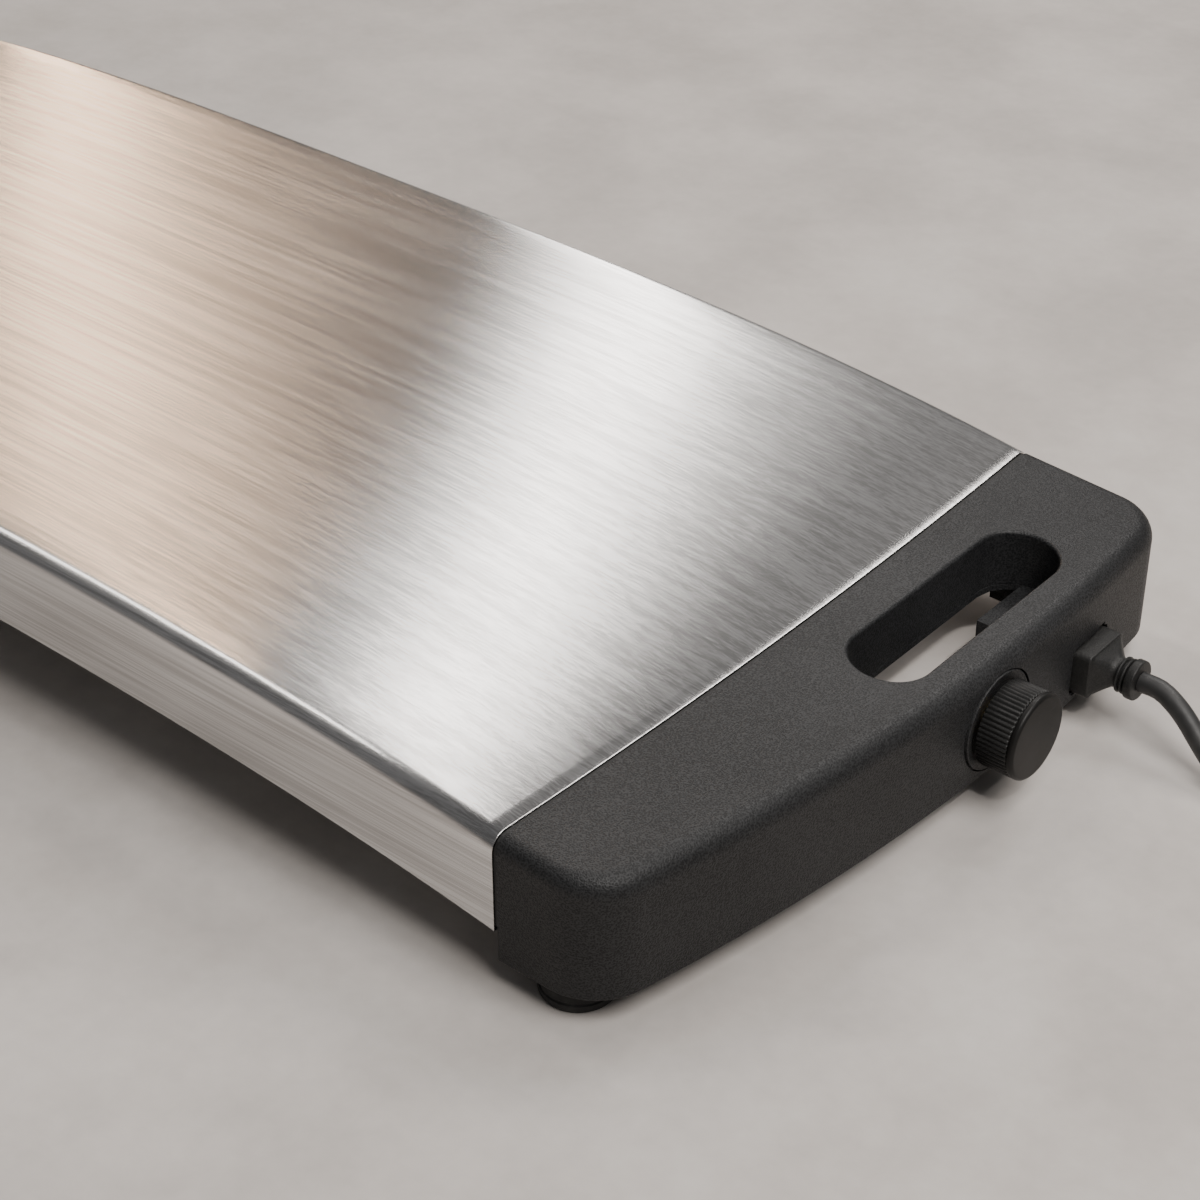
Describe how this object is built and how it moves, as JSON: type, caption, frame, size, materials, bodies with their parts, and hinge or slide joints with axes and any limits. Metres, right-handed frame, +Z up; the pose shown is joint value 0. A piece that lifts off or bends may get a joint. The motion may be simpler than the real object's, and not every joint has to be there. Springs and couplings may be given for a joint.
{
  "type": "food warming tray",
  "caption": "Electric food warming tray: arched brushed-steel top between two moulded end handles with finger slots, rotary control and detachable mains lead",
  "frame": {"origin": "on the table, under the middle of the tray's box without its lead", "axes": "X runs along the tray with +X towards the controls, Y runs from front to back, Z is up"},
  "size_m": [1.0444, 0.3804, 0.0772],
  "materials": {
    "brushed_steel": "brushed along the tray",
    "sheet_steel": "plain mill finish",
    "aluminium": "plain",
    "element_sleeve": "heat tinted",
    "insulation": "matte fibre",
    "charcoal_plastic": "fine grained, matte",
    "black_plastic": "satin",
    "knob_face": "smooth satin",
    "soft_seal": "matte",
    "foot_rubber": "matte",
    "cord_sheath": "satin",
    "board_green": "satin",
    "component": "matte",
    "screw_steel": "bright",
    "brass": "plain",
    "wire_blue": "satin",
    "wire_red": "satin",
    "wire_earth": "satin",
    "tie_fabric": "woven"
  },
  "bodies": {
    "tray": {"top_plate": "brushed_steel", "base_pan": "sheet_steel", "heat_spreader": "aluminium", "heating_element": "element_sleeve", "insulation_pad": "insulation", "rib_left": "sheet_steel", "rib_middle": "sheet_steel", "rib_right": "sheet_steel", "left_end_plate": "sheet_steel", "right_end_plate": "sheet_steel", "left_seal": "soft_seal", "right_seal": "soft_seal", "left_handle_shell": "charcoal_plastic", "right_handle_shell": "charcoal_plastic", "left_handle_base": "charcoal_plastic", "right_handle_base": "charcoal_plastic", "left_front_foot": "foot_rubber", "left_back_foot": "foot_rubber", "right_front_foot": "foot_rubber", "right_back_foot": "foot_rubber", "left_front_foot_screw": "screw_steel", "left_back_foot_screw": "screw_steel", "right_front_foot_screw": "screw_steel", "right_back_foot_screw": "screw_steel", "left_front_handle_screw": "screw_steel", "left_back_handle_screw": "screw_steel", "right_front_handle_screw": "screw_steel", "right_back_handle_screw": "screw_steel", "bezel_ring": "charcoal_plastic", "rotary_control": "component", "control_nut": "brass", "control_board": "board_green", "heat_sink": "aluminium", "terminal_block": "component", "thermal_cutoff": "component", "temperature_sensor": "brass", "inlet_socket": "black_plastic", "inlet_neutral_pin": "brass", "inlet_live_pin": "brass", "inlet_earth_pin": "brass", "neutral_wire": "wire_blue", "live_wire": "wire_red", "earth_wire": "wire_earth", "front_heater_wire": "wire_red", "back_heater_wire": "wire_red", "control_wire": "wire_red", "sensor_wire": "wire_red"},
    "control": {"control_knob": "black_plastic", "knob_cap": "knob_face", "control_shaft": "aluminium"},
    "mains_lead": {"lead_connector": "black_plastic", "cord_run": "cord_sheath", "cord_coil": "cord_sheath", "cord_tie": "tie_fabric", "mains_plug": "black_plastic", "plug_neutral_pin": "brass", "plug_live_pin": "brass", "plug_earth_pin": "brass"}
  },
  "joints": [
    {"name": "control_turn", "type": "hinge", "parent": "tray", "child": "control", "pos_m": [0.41973, 0.0345, 0.032], "axis": [-1, 0, 0], "range_deg": [0, 270]},
    {"name": "lead_unplug", "type": "slide", "parent": "tray", "child": "mains_lead", "axis": [1, 0, 0], "range_m": [0, 0.022]}
  ]
}
